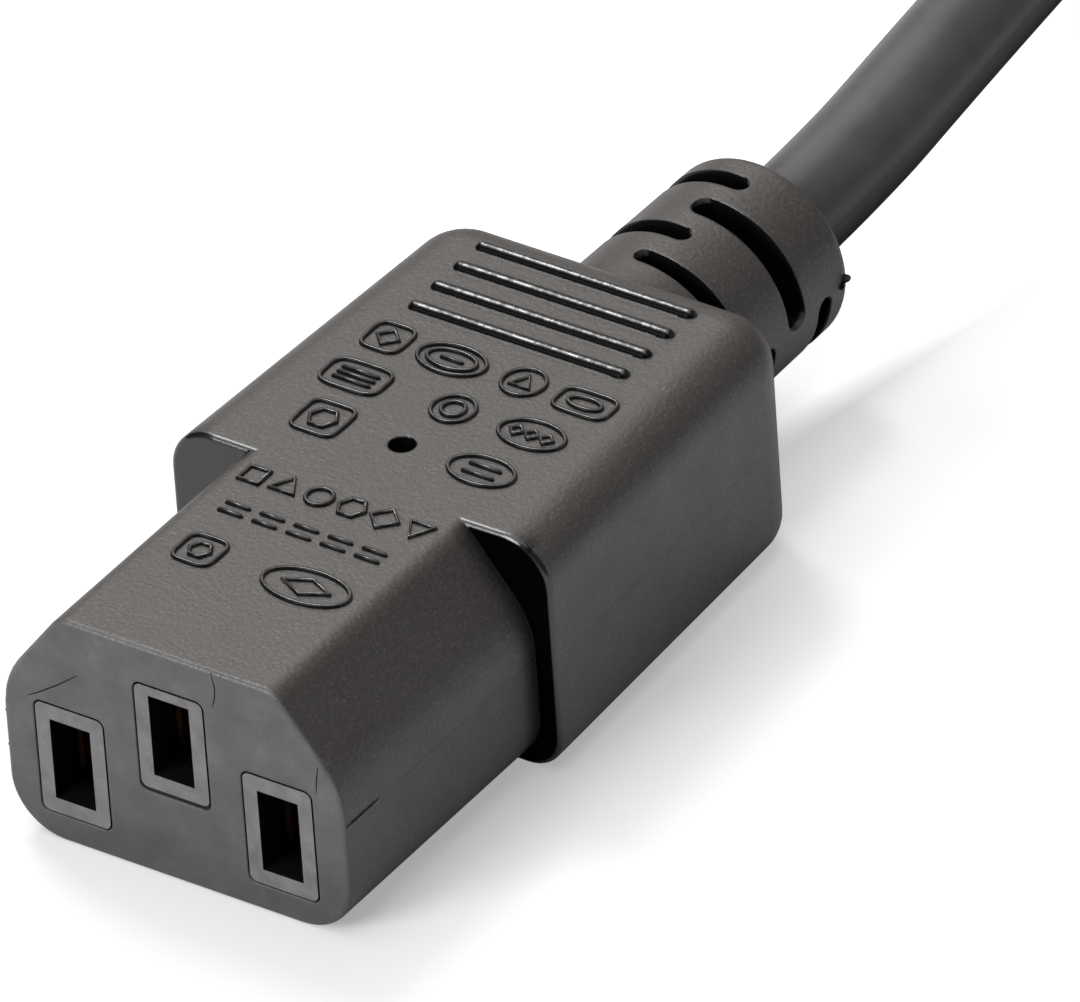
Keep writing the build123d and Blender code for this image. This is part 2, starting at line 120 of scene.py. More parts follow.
def make_camera():
    """The scene's camera, which sees what the photograph shows."""
    data = bpy.data.cameras.new("photo_camera")
    data.sensor_width = SENSOR_WIDTH
    data.lens = FOCAL_PIXELS * SENSOR_WIDTH / FRAME_WIDTH_PIXELS
    data.clip_start = 0.05
    data.clip_end = 50
    camera = bpy.data.objects.new("photo_camera", data)
    bpy.context.scene.collection.objects.link(camera)
    turn = Matrix(camera_axes(CAMERA_AZIMUTH, CAMERA_ELEVATION, CAMERA_ROLL)).transposed()
    camera.matrix_world = Matrix.Translation(Vector(CAMERA_AT) * MM) @ turn.to_4x4()
    bpy.context.scene.camera = camera


make_camera()


# Steps that materials are made of


def new_material(name):
    """A new material with its node tree and its shader."""
    material = bpy.data.materials.new(name)
    material.use_nodes = True
    tree = material.node_tree
    return material, tree, tree.nodes["Principled BSDF"]


def feed(tree, shader, colour, rough, level=None, normal=None):
    """Wires a shader's colour, roughness and, where they are given, specular level and normal."""
    values = {"Base Color": colour, "Roughness": rough, "Specular IOR Level": level, "Normal": normal}
    for name, value in values.items():
        if value is not None:
            tree.links.new(value, shader.inputs[name])


def noise(tree, scale, detail=2.0, rough=0.5):
    """A noise texture in object space, whose scale is features per metre."""
    place = tree.nodes.new("ShaderNodeTexCoord")
    texture = tree.nodes.new("ShaderNodeTexNoise")
    texture.inputs["Scale"].default_value = scale
    texture.inputs["Detail"].default_value = detail
    texture.inputs["Roughness"].default_value = rough
    tree.links.new(place.outputs["Object"], texture.inputs["Vector"])
    return texture.outputs["Fac"]


def ramp(tree, value, stops):
    """A colour ramp over a value. Stops are (position, colour)."""
    node = tree.nodes.new("ShaderNodeValToRGB")
    band = node.color_ramp
    while len(band.elements) < len(stops):
        band.elements.new(0.5)
    for element, (position, colour) in zip(band.elements, stops):
        element.position = position
        element.color = (*colour, 1)
    tree.links.new(value, node.inputs["Fac"])
    return node.outputs["Color"]


def scaled(tree, value, low, high, start=0.0, end=1.0):
    """A value mapped from the range start to end onto low to high, and held there beyond it."""
    node = tree.nodes.new("ShaderNodeMapRange")
    for name, number in (("From Min", start), ("From Max", end), ("To Min", low), ("To Max", high)):
        node.inputs[name].default_value = number
    tree.links.new(value, node.inputs["Value"])
    return node.outputs["Result"]


def over_span(tree, place, span, low, high):
    """A place in metres mapped from a span in millimetres onto low to high, and held there beyond it."""
    return scaled(tree, place, low, high, span[0] * MM, span[1] * MM)


def bump(tree, height, depth, strength=1.0, normal=None):
    """A bump from a height value, with its depth in millimetres."""
    node = tree.nodes.new("ShaderNodeBump")
    node.inputs["Distance"].default_value = depth * MM
    node.inputs["Strength"].default_value = strength
    tree.links.new(height, node.inputs["Height"])
    if normal is not None:
        tree.links.new(normal, node.inputs["Normal"])
    return node.outputs["Normal"]


def soft_edges(tree, radius):
    """The surface's normal with its edges rounded over a radius in millimetres."""
    node = tree.nodes.new("ShaderNodeBevel")
    node.samples = 6
    node.inputs["Radius"].default_value = radius * MM
    return node.outputs["Normal"]


def math_node(tree, operation, first, second=0.0, third=0.0):
    """One step of arithmetic on values that are numbers or sockets."""
    node = tree.nodes.new("ShaderNodeMath")
    node.operation = operation
    for socket, source in zip(node.inputs, (first, second, third)):
        if isinstance(source, (int, float)):
            socket.default_value = source
        else:
            tree.links.new(source, socket)
    return node.outputs[0]


def product(tree, first, second):
    """One value times another."""
    return math_node(tree, "MULTIPLY", first, second)


def distance(tree, value, place):
    """How far a value is from a place."""
    return math_node(tree, "ABSOLUTE", math_node(tree, "SUBTRACT", value, place))


def largest(tree, value, *others):
    """The largest of some values."""
    for other in others:
        value = math_node(tree, "MAXIMUM", value, other)
    return value


def split(tree, vector):
    """The three parts of a vector."""
    node = tree.nodes.new("ShaderNodeSeparateXYZ")
    tree.links.new(vector, node.inputs[0])
    return node.outputs["X"], node.outputs["Y"], node.outputs["Z"]


def normal_parts(tree):
    """The three parts of the surface's normal."""
    return split(tree, tree.nodes.new("ShaderNodeNewGeometry").outputs["Normal"])


def object_place(tree):
    """The place on the part, in metres."""
    return split(tree, tree.nodes.new("ShaderNodeTexCoord").outputs["Object"])


def along_y(tree):
    """How squarely a face looks along Y, from 0 to 1."""
    return math_node(tree, "ABSOLUTE", normal_parts(tree)[1])


def near(tree, value, places, reach):
    """1 where a value in metres is within reach, in millimetres, of one of the places, and 0 elsewhere."""
    total = 0.0
    for place in places:
        total = math_node(tree, "ADD", math_node(tree, "COMPARE", value, place, reach * MM), total)
    return total


def mixed(tree, share, first, second):
    """Blends two values by a share."""
    node = tree.nodes.new("ShaderNodeMix")
    node.data_type = "FLOAT"
    for socket, source in ((0, share), (2, first), (3, second)):
        if isinstance(source, float):
            node.inputs[socket].default_value = source
        else:
            tree.links.new(source, node.inputs[socket])
    return node.outputs[0]


def blended(tree, share, first, second):
    """Blends two colours by a share."""
    node = tree.nodes.new("ShaderNodeMix")
    node.data_type = "RGBA"
    for socket, source in ((0, share), (6, first), (7, second)):
        if isinstance(source, tuple):
            node.inputs[socket].default_value = (*source, 1)
        else:
            tree.links.new(source, node.inputs[socket])
    return node.outputs[2]


def coated(tree, surface, share, colour=None, rough=None, level=None):
    """Lays another finish over a share of a surface, which is its (colour, roughness, specular level)."""
    old_colour, old_rough, old_level = surface
    return (
        old_colour if colour is None else blended(tree, share, old_colour, colour),
        old_rough if rough is None else mixed(tree, share, old_rough, rough),
        old_level if level is None else mixed(tree, share, old_level, level),
    )


# Where the sockets' finishes and painted shade lie, in metres on both sockets, and how far they reach, in
# millimetres


def on_sockets(from_face):
    """Where a place at a distance from the face lies along Y, on socket A and on socket B, in metres."""
    return (from_face - SOCKET_HALF_LENGTH) * MM, (SOCKET_B_FACE_Y - from_face) * MM


SOCKET_AXES = (0.0, SOCKET_B_X * MM)
FACE_PLACES = on_sockets(0.0)
SHOULDER_PLACES = on_sockets(NOSE_LENGTH)
PINHOLE_PLACES = on_sockets(PINHOLE_FROM_FACE)
RELIEF_PLACES = on_sockets(RELIEF_FROM_FACE)
FACE_DEPTH = 0.4
FACE_FOOT_SHADE = (1.5, 10.0)
CARRIER_RIM_DEPTH = 0.3
SHOULDER_EDGE_REACH = 0.45
SHOULDER_CORNER = (0.0, 1.5)
NOSE_REACH = NOSE_HALF_WIDTH + 0.1
# Where painted shade darkens socket A's shoulder on its right, and how far it reaches
SHELTERED_PLACES = (10.5 * MM,)
SHELTERED_REACH = 4.0
RIBS_START = (SOCKET_TOP + 0.03, SOCKET_TOP + 0.08)
PINHOLE_END = (SOCKET_TOP - 0.12, SOCKET_TOP - 0.02)
PINHOLE_REACH = 0.9
RELIEF_SKIN = (5.65, 5.8)
RELIEF_SLOTS_REACH = 6.9


def front_flank(tree, start, end):
    """How far a face leans towards -Y, from 0 at the normal's start to 1 at its end: where painted shade
    darkens front flanks.
    """
    return scaled(tree, normal_parts(tree)[1], 0.0, 1.0, -start, -end)


def grip_ribs(tree):
    """1 on the ribs, which stand above a socket's flat top, and 0 elsewhere."""
    return over_span(tree, object_place(tree)[2], RIBS_START, 0.0, 1.0)


def shoulder_edge(tree):
    """1 on the rounded edge round the shoulder, and 0 elsewhere."""
    at_shoulder = near(tree, object_place(tree)[1], SHOULDER_PLACES, SHOULDER_EDGE_REACH)
    return product(tree, at_shoulder, scaled(tree, along_y(tree), 0.0, 1.0, 0.15, 0.3))


def shoulder_corner(tree):
    """How deep in the corner between the nose's sides and the shoulder a place is, from 0 to 0.75: how much
    painted shade the corner gets.
    """
    x, y = object_place(tree)[:2]
    away = math_node(tree, "MINIMUM", *(distance(tree, y, place) for place in SHOULDER_PLACES))
    depth = over_span(tree, away, SHOULDER_CORNER, 0.75, 0.0)
    sideways = math_node(tree, "ABSOLUTE", normal_parts(tree)[0])
    on_nose = near(tree, x, SOCKET_AXES, NOSE_REACH)
    return product(tree, depth, product(tree, on_nose, scaled(tree, sideways, 0.0, 1.0, 0.1, 0.5)))


def mating_face(tree, depth, full):
    """1 on a mating face, to a depth in it and where it looks along Y by at least full, and 0 elsewhere."""
    at_face = near(tree, object_place(tree)[1], FACE_PLACES, depth)
    return product(tree, at_face, scaled(tree, along_y(tree), 0.0, 1.0, 0.5, full))


def pinhole(tree):
    """1 inside the pinhole in a socket's top, and 0 elsewhere."""
    x, y, z = object_place(tree)
    on_axis = near(tree, x, SOCKET_AXES, PINHOLE_REACH)
    here = product(tree, on_axis, near(tree, y, PINHOLE_PLACES, PINHOLE_REACH))
    return product(tree, here, over_span(tree, z, PINHOLE_END, 1.0, 0.0))


def relief_slots(tree):
    """1 inside the slots of a socket's strain relief, below its skin, and 0 elsewhere."""
    x, y, z = object_place(tree)
    sideways = math_node(tree, "MINIMUM", *(distance(tree, x, axis) for axis in SOCKET_AXES))
    upward = math_node(tree, "SUBTRACT", z, SOCKET_CORD_HEIGHT * MM)
    squared = math_node(tree, "MULTIPLY_ADD", sideways, sideways, product(tree, upward, upward))
    deep = over_span(tree, math_node(tree, "SQRT", squared), RELIEF_SKIN, 1.0, 0.0)
    return product(tree, deep, near(tree, y, RELIEF_PLACES, RELIEF_SLOTS_REACH))


# Materials

GRAIN_COLOURS = [
    (0.0, (0.046, 0.041, 0.038)),
    (0.50, (0.059, 0.054, 0.050)),
    (0.66, (0.082, 0.076, 0.072)),
    (0.80, (0.15, 0.143, 0.137)),
]
POLISHED_BLACK = (0.006, 0.0055, 0.0055)
# The next three are painted shade: for front flanks, for the shoulder's corners and for holes.
FLANK_SHADE_BLACK = (0.003, 0.0028, 0.0028)
CORNER_SHADE_BLACK = (0.0012, 0.001, 0.001)
HOLE_SHADE_BLACK = (0.003, 0.003, 0.003)


def rib_finish(tree, surface, ribs):
    """Polished ribs with a patchy glint, and painted shade that darkens their front flanks."""
    glint = scaled(tree, noise(tree, 2600, 1.0), 0.35, 1.0, 0.38, 0.62)
    surface = coated(tree, surface, ribs, rough=0.21, level=glint)
    shaded_flank = product(tree, ribs, front_flank(tree, 0.36, 0.60))
    return coated(tree, surface, shaded_flank, FLANK_SHADE_BLACK, level=0.03)


def shoulder_finish(tree, surface, square):
    """Painted shade: dark corners where the nose's sides meet the shoulder, and socket A's shoulder painted
    dark on its right.
    """
    sheltered = near(tree, object_place(tree)[0], SHELTERED_PLACES, SHELTERED_REACH)
    dark = largest(tree, product(tree, sheltered, square), shoulder_corner(tree))
    return coated(tree, surface, dark, CORNER_SHADE_BLACK, level=0.05)


def face_finish(tree, surface):
    """A pale and cloudy mating face, with painted shade that darkens it towards its foot."""
    cloud = noise(tree, 380, 6.0, 0.7)
    greys = [(0.28, (0.060, 0.058, 0.059)), (0.55, (0.092, 0.089, 0.091)), (0.75, (0.130, 0.126, 0.129))]
    # Painted shade: the face grows darker towards its foot.
    foot = over_span(tree, object_place(tree)[2], FACE_FOOT_SHADE, 0.4, 0.0)
    pale = blended(tree, foot, ramp(tree, cloud, greys), (0.040, 0.039, 0.040))
    rough = scaled(tree, cloud, 0.30, 0.44, 0.3, 0.7)
    return coated(tree, surface, mating_face(tree, FACE_DEPTH, 0.7), pale, rough, 0.5)


def hole_finish(tree, surface):
    """Painted shade that darkens the inside of the pinhole and of the strain relief's slots."""
    return coated(tree, surface, largest(tree, pinhole(tree), relief_slots(tree)), HOLE_SHADE_BLACK, level=0.05)


def moulded_pvc(name, on_socket):
    """Near-black overmould PVC: a fine eroded grain with pale specks, polished where the tool was cut plain.

    On a socket the shoulder with its edge, the ribs and the mating face have their own finishes, and painted
    shade darkens the holes, the ribs' front flanks, the shoulder's corners and the face's foot.
    """
    material, tree, shader = new_material(name)
    square = scaled(tree, along_y(tree), 0.0, 1.0, 0.90, 0.97)
    polish = square
    if on_socket:
        ribs = grip_ribs(tree)
        polish = largest(tree, square, shoulder_edge(tree), ribs)
    specks = ramp(tree, noise(tree, 5200, 3.0, 0.6), GRAIN_COLOURS)
    rough = scaled(tree, noise(tree, 420, 2.0), 0.38, 0.46, 0.3, 0.7)
    surface = coated(tree, (specks, rough, 0.50), polish, POLISHED_BLACK, 0.17, 0.85)
    if on_socket:
        surface = rib_finish(tree, surface, ribs)
        surface = shoulder_finish(tree, surface, square)
        surface = face_finish(tree, surface)
        surface = hole_finish(tree, surface)
    grain = mixed(tree, polish, noise(tree, 3600, 2.0, 0.6), 0.5)
    feed(tree, shader, *surface, bump(tree, grain, 0.045, 0.9, soft_edges(tree, 0.22)))
    return material


def carrier_plastic():
    """The hard insert of a socket: pale rims at the mating face, and painted shade that makes it dark inside.
    """
    material, tree, shader = new_material("carrier_plastic")
    rim = mating_face(tree, CARRIER_RIM_DEPTH, 0.9)
    flow = noise(tree, 900, 4.0, 0.6)
    pale = ramp(tree, flow, [(0.3, (0.11, 0.108, 0.111)), (0.7, (0.18, 0.177, 0.182))])
    # The inside is painted near black, with little reflection, as painted shade in the slots.
    colour = blended(tree, rim, (0.005, 0.0045, 0.0045), pale)
    rough = scaled(tree, flow, 0.36, 0.50, 0.3, 0.7)
    level = mixed(tree, rim, 0.08, 0.5)
    feed(tree, shader, colour, rough, level, bump(tree, noise(tree, 4200, 2.0), 0.03, 0.6))
    return material


def shroud_plastic():
    """The plug's hard shroud: a smoother near-black with faint flow marks."""
    material, tree, shader = new_material("shroud_plastic")
    flow = noise(tree, 900, 3.0)
    colour = ramp(tree, flow, [(0.3, (0.050, 0.049, 0.049)), (0.7, (0.066, 0.064, 0.064))])
    rough = scaled(tree, flow, 0.36, 0.48, 0.3, 0.7)
    grain = bump(tree, noise(tree, 4200, 2.0), 0.03, 0.6, soft_edges(tree, 0.15))
    feed(tree, shader, colour, rough, normal=grain)
    return material


def cord_pvc():
    """The cord's satin sheath, slightly wavy as extruded jackets are, with painted shade that makes it dark
    and dull low on its sides.
    """
    material, tree, shader = new_material("cord_pvc")
    cloud = noise(tree, 300, 3.0)
    top = ramp(tree, cloud, [(0.3, (0.070, 0.067, 0.068)), (0.7, (0.086, 0.082, 0.084))])
    slope = normal_parts(tree)[2]
    # Painted shade: the underside is darkened and its reflection dimmed.
    under = scaled(tree, slope, 0.0, 1.0, 0.05, -0.35)
    colour = blended(tree, under, top, (0.012, 0.0115, 0.012))
    rough = scaled(tree, cloud, 0.33, 0.40, 0.3, 0.7)
    level = scaled(tree, slope, 0.42, 0.02, 0.50, 0.1)
    fine = bump(tree, noise(tree, 2600, 2.0), 0.03, 0.5)
    feed(tree, shader, colour, rough, level, bump(tree, noise(tree, 220, 1.0), 0.3, 0.35, fine))
    return material


def plain_metal(name, dark, light, rough_low, rough_high):
    """Stamped metal with faint rolling marks."""
    material, tree, shader = new_material(name)
    cloud = noise(tree, 1500, 3.0)
    colour = ramp(tree, cloud, [(0.3, dark), (0.7, light)])
    rough = scaled(tree, cloud, rough_low, rough_high, 0.3, 0.7)
    feed(tree, shader, colour, rough, normal=bump(tree, noise(tree, 6000, 2.0), 0.01, 0.4))
    shader.inputs["Metallic"].default_value = 1.0
    return material


def core_plastic(name, dark, light):
    """A core's thin insulation, with slight colour change along it."""
    material, tree, shader = new_material(name)
    cloud = noise(tree, 800, 2.0)
    colour = ramp(tree, cloud, [(0.35, dark), (0.65, light)])
    feed(tree, shader, colour, scaled(tree, cloud, 0.38, 0.5))
    return material


def strap_fabric():
    """Hook and loop strap: a dull, fuzzy black weave."""
    material, tree, shader = new_material("strap_fabric")
    fuzz = noise(tree, 2600, 4.0, 0.7)
    colour = ramp(tree, fuzz, [(0.3, (0.018, 0.018, 0.019)), (0.7, (0.05, 0.05, 0.052))])
    feed(tree, shader, colour, scaled(tree, fuzz, 0.8, 0.95), normal=bump(tree, fuzz, 0.2))
    shader.inputs["Sheen Weight"].default_value = 0.3
    return material


def polished_pvc():
    """The same PVC where the mould was polished: raised marks and flash, with painted shade that darkens
    their front flanks.
    """
    material, tree, shader = new_material("polished_pvc")
    cloud = noise(tree, 1600, 3.0)
    shaded_flank = front_flank(tree, 0.25, 0.6)
    top = ramp(tree, cloud, [(0.3, (0.020, 0.019, 0.019)), (0.7, (0.036, 0.034, 0.033))])
    colour = blended(tree, shaded_flank, top, (0.008, 0.008, 0.008))
    rough = scaled(tree, cloud, 0.18, 0.26, 0.3, 0.7)
    level = mixed(tree, shaded_flank, scaled(tree, cloud, 0.5, 1.0, 0.35, 0.65), 0.08)
    feed(tree, shader, colour, rough, level, bump(tree, noise(tree, 5000, 2.0), 0.01, 0.5))
    return material


PVC = moulded_pvc("moulded_pvc", False)
SOCKET_PVC = moulded_pvc("socket_pvc", True)
POLISHED = polished_pvc()
CARRIER = carrier_plastic()
SHROUD = shroud_plastic()
CORD = cord_pvc()
# The contacts' brass is painted much darker than brass: painted shade for contacts deep in the slots.
SHADED_BRASS = plain_metal("contact_brass", (0.07, 0.036, 0.019), (0.11, 0.06, 0.03), 0.45, 0.6)
NICKEL = plain_metal("pin_nickel", (0.58, 0.56, 0.52), (0.70, 0.68, 0.64), 0.18, 0.3)
TINNED = plain_metal("splice_tin", (0.52, 0.52, 0.51), (0.66, 0.66, 0.65), 0.3, 0.42)
BROWN = core_plastic("core_brown", (0.12, 0.045, 0.02), (0.16, 0.06, 0.026))
BLUE = core_plastic("core_blue", (0.02, 0.09, 0.34), (0.03, 0.12, 0.42))
GREEN = core_plastic("core_green", (0.06, 0.28, 0.04), (0.42, 0.42, 0.03))
STRAP = strap_fabric()

CORE_MATERIALS = {"line": BROWN, "neutral": BLUE, "earth": GREEN}
NODE_MATERIALS = {
    "socket_housing": SOCKET_PVC,
    "housing": PVC,
    "carrier": CARRIER,
    "shroud": SHROUD,
    "contact": SHADED_BRASS,
    "pin": NICKEL,
    "splice": TINNED,
    "cord_tie": STRAP,
    "cord": CORD,
}


def material_for(node_name):
    """The material of a CAD node, by the first of the words that its name holds."""
    materials = CORE_MATERIALS if "core" in node_name else NODE_MATERIALS
    return next(material for word, material in materials.items() if word in node_name)


for node_name, node in NODES.items():
    node.data.materials.clear()
    node.data.materials.append(material_for(node_name))


# Cords


def make_cord(name, route, node):
    """A cord as one smooth spline through the space that its CAD tube holds."""
    data = bpy.data.curves.new(name, "CURVE")
    data.dimensions = "3D"
    data.resolution_u = 24
    data.bevel_depth = CORD_DIAMETER / 2 * MM
    data.bevel_resolution = 10
    data.use_fill_caps = True
    spline = data.splines.new("NURBS")
    spline.points.add(len(route) - 1)
    for point, (x, y, z) in zip(spline.points, route):
        point.co = (x * MM, y * MM, z * MM, 1)
    spline.order_u = 3
    spline.use_endpoint_u = True
    piece = bpy.data.objects.new(name, data)
    bpy.context.scene.collection.objects.link(piece)
    data.materials.append(CORD)
    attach(piece, BODY)
    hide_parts(node)
    return piece


tail_a = make_cord("tail_a_lead", TAIL_A_ROUTE, "tail_cord_a")
tail_b = make_cord("tail_b_lead", TAIL_B_ROUTE, "tail_cord_b")
trunk = make_cord("trunk_lead", TRUNK_ROUTE, "trunk_cord")


# Raised details on the sockets, in each socket's own frame: X across, Y from its mating face, in millimetres

STROKE_WIDTH = 0.28
STROKE_HEIGHT = 0.2
STROKE_SUNK = 0.06
STROKE_END_LENGTH = 0.12
STROKE_END_TAPER = 0.55
SEAM_WIDTH = 0.09
SEAM_HEIGHT = 0.02
FLASH_WIDTH = 0.07
NOSE_FLASH_HEIGHT = 0.014
BODY_FLASH_HEIGHT = 0.012
THICK_FLASH_WIDTH = 0.24
THICK_FLASH_HEIGHT = 0.10

# Two scraps at the strain relief's end and one at the nose's front, as (place, direction, length, width)
FLASH_SCRAPS = [
    ((5.95, 58.6, 7.6), (0.9, 0.45, 0.1), 0.45, 0.5),
    ((5.95, 58.3, 7.3), (0.9, -0.1, -0.3), 0.3, 0.5),
    ((-11.45, 0.4, 5.2), (-1.0, -0.1, 0.1), 0.2, 0.3),
]

FROM_MM = Matrix.Scale(MM, 4)
HALF_TURN = Matrix.Rotation(math.pi, 4, "Z")
PLACE_A = Matrix.Translation(Vector((0, -SOCKET_HALF_LENGTH, 0)) * MM) @ FROM_MM
PLACE_B = Matrix.Translation(Vector((SOCKET_B_X, SOCKET_B_FACE_Y, 0)) * MM) @ HALF_TURN @ FROM_MM


def ring(x, y, half_x, half_y, power=2.0, count=32):
    """A closed outline between an ellipse, at power 2, and a rounded rectangle, at higher powers."""
    points = []
    for step in range(count):
        angle = 2 * math.pi * step / count
        c, s = math.cos(angle), math.sin(angle)
        points.append((
            x + half_x * math.copysign(abs(c) ** (2 / power), c),
            y + half_y * math.copysign(abs(s) ** (2 / power), s),
        ))
    return points


def dash(x, y, length):
    """A short stroke across the socket, with its middle at x, y and quickly tapered ends."""
    reach = length / 2
    steps = (-reach, STROKE_END_LENGTH - reach, 0.0, reach - STROKE_END_LENGTH, reach)
    return [(x + step, y) for step in steps]


def polygon(x, y, radius, sides, turn=0.0):
    """A closed outline with even sides and its first corner at turn degrees."""
    angles = [math.radians(turn) + 2 * math.pi * side / sides for side in range(sides)]
    return [(x + radius * math.cos(a), y + radius * math.sin(a)) for a in angles]


def skin(bm, loops, closed=False):
    """Joins loops of points by faces, and caps both ends where the loops don't close on themselves."""
    for here, there in zip(loops, loops[1:] + loops[:1] if closed else loops[1:]):
        for k in range(len(here)):
            following = (k + 1) % len(here)
            bm.faces.new((here[k], here[following], there[following], there[k]))
    if not closed:
        bm.faces.new(loops[0])
        bm.faces.new(reversed(loops[-1]))


def raise_stroke(bm, points, closed, frame_at, width, height):
    """A low rounded bead along points.

    frame_at(point, before, after) gives a point's place, its sideways and its outward direction. The bead's
    section is in shares of its width across and in millimetres upward.
    """
    half_section = ((-0.5, -STROKE_SUNK), (-0.46, height * 0.55), (-0.25, height))
    section = (*half_section, *((-across, rise) for across, rise in reversed(half_section)))
    loops = []
    last = len(points) - 1
    for index, point in enumerate(points):
        before = points[index - 1] if closed or index > 0 else point
        after = points[(index + 1) % len(points)] if closed or index < last else point
        place, side, out = frame_at(point, before, after)
        taper = 1.0 if closed or 0 < index < last else STROKE_END_TAPER
        loops.append([
            bm.verts.new(place + side * (across * width * taper) + out * (rise if rise < 0 else rise * taper))
            for across, rise in section
        ])
    skin(bm, loops, closed)


def on_top(point, before, after):
    """The frame of a stroke that lies on a socket's flat top."""
    along = Vector((after[0] - before[0], after[1] - before[1], 0)).normalized()
    return Vector((point[0], point[1], SOCKET_TOP)), Vector((-along.y, along.x, 0)), Vector((0, 0, 1))


def on_side(point, before, after):
    """The frame of a stroke that runs along a socket's side at the parting height."""
    out = Vector((math.copysign(1, point[0]), 0, 0))
    return Vector((point[0], point[1], PARTING_HEIGHT)), Vector((0, 0, 1)), out


def on_face(point, before, after):
    """The frame of a stroke that lies on a socket's mating face, from points of x and height."""
    along = Vector((after[0] - before[0], 0, after[1] - before[1])).normalized()
    return Vector((point[0], 0, point[1])), Vector((-along.z, 0, along.x)), Vector((0, -1, 0))


def finish_mesh(name, bm, material, place, smooth=True):
    """Moves a mesh from a socket's frame to the part's frame and makes it a piece."""
    bmesh.ops.recalc_face_normals(bm, faces=bm.faces)
    mesh = bpy.data.meshes.new(name)
    bm.to_mesh(mesh)
    bm.free()
    mesh.transform(place)
    for face in mesh.polygons:
        face.use_smooth = smooth
    mesh.materials.append(material)
    piece = bpy.data.objects.new(name, mesh)
    bpy.context.scene.collection.objects.link(piece)
    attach(piece, BODY)
    return piece


def moulded_marks():
    """Plain rings, ovals, frames, polygons and bars in rows across the top, as (points, closed)."""
    closed = [
        ring(-6.6, 31.7, 1.3, 1.3, 4.0),
        polygon(-6.6, 31.7, 0.75, 4),
        ring(-2.2, 31.6, 2.2, 1.35),
        ring(-2.2, 31.6, 1.6, 0.85),
        ring(2.6, 31.7, 1.3, 1.3),
        polygon(2.6, 31.6, 0.75, 3, 90),
        ring(6.8, 31.6, 1.8, 1.1, 4.0),
        ring(6.8, 31.6, 1.1, 0.5),
        ring(-6.0, 27.6, 2.0, 1.3, 4.0),
        ring(0.6, 27.6, 1.3, 1.3),
        ring(0.6, 27.6, 0.7, 0.7),
        ring(5.9, 27.6, 2.1, 1.3),
        *[polygon(x, 27.6, 0.45, 4) for x in (4.9, 5.9, 6.9)],
        ring(-5.3, 23.3, 1.5, 1.5, 5.0, 24),
        polygon(-5.3, 23.3, 0.9, 6),
        ring(5.4, 23.3, 2.1, 1.3),
        ring(3.2, 9.2, 2.8, 1.5),
        [(1.6, 9.2), (3.2, 9.95), (4.8, 9.2), (3.2, 8.45)],
        ring(-4.0, 9.3, 1.3, 1.3, 4.0),
        polygon(-4.0, 9.3, 0.7, 6),
        polygon(-5.5, 16.8, 0.95, 4, 45),
        polygon(-3.3, 16.7, 0.95, 3, 90),
        ring(-1.1, 16.8, 0.8, 0.8),
        polygon(1.1, 16.8, 0.88, 6),
        polygon(3.3, 16.8, 0.95, 4),
        polygon(5.5, 16.9, 0.95, 3, -90),
    ]
    bars = [
        dash(-2.2, 31.6, 1.6),
        *[dash(-6.0, y, 2.6) for y in (28.1, 27.6, 27.1)],
        *[dash(5.4, y, 2.2) for y in (23.7, 22.9)],
        *[dash(-4.6 + 2.3 * step, y, 1.7) for step in range(5) for y in (13.9, 13.1)],
    ]
    return [(points, True) for points in closed] + [(points, False) for points in bars]


def body_half_width(y):
    """Half the width of the grip body, which narrows towards its rear."""
    return BODY_HALF_WIDTH - BODY_REAR_INSET * (y - NOSE_LENGTH) / BODY_LENGTH


def flash_line():
    """The mould's parting line along both sides, thick beside the face, as (points, width, height)."""
    strips = []
    for side in (-1, 1):
        lip = [(side * NOSE_HALF_WIDTH, y) for y in (0.2, 0.6, 1.6, 2.6, 3.3)]
        nose = [(side * NOSE_HALF_WIDTH, y) for y in (3.4, 8.0, 13.0, NOSE_LENGTH)]
        body = [(side * body_half_width(y), y) for y in (19.3, 25.0, 31.0, 37.0, 41.4)]
        strips.append((lip, THICK_FLASH_WIDTH, THICK_FLASH_HEIGHT))
        strips.append((nose, FLASH_WIDTH, NOSE_FLASH_HEIGHT))
        strips.append((body, FLASH_WIDTH, BODY_FLASH_HEIGHT))
    return strips


def face_seams():
    """Fine seams on the mating face, given as x and height."""
    return [
        [(3.1, 15.3), (3.3, 14.4), (3.25, 13.7), (3.05, 13.0)],
        [(9.95, 11.3), (9.8, 10.4), (9.7, 9.45)],
        [(-9.7, 9.4), (-8.9, 9.9), (-7.6, 10.8), (-6.2, 11.9)],
    ]


def nib(bm, at, out, length, width):
    """A torn scrap of flash: a small bent tongue that tapers to its tip."""
    out = Vector(out).normalized()
    side = out.orthogonal().normalized()
    up = out.cross(side)
    corners = ((-0.5, -0.25), (0.5, -0.3), (0.45, 0.25), (-0.4, 0.3))
    loops = []
    for reach, size, lift in ((-0.5, 1.0, 0.0), (0.3, 1.0, 0.03), (0.75, 0.75, 0.1), (1.0, 0.35, 0.2)):
        middle = Vector(at) + out * (reach * length) + up * (lift * length)
        loops.append([
            bm.verts.new(middle + side * (width * size * a) + up * (width * size * b)) for a, b in corners
        ])
    skin(bm, loops)


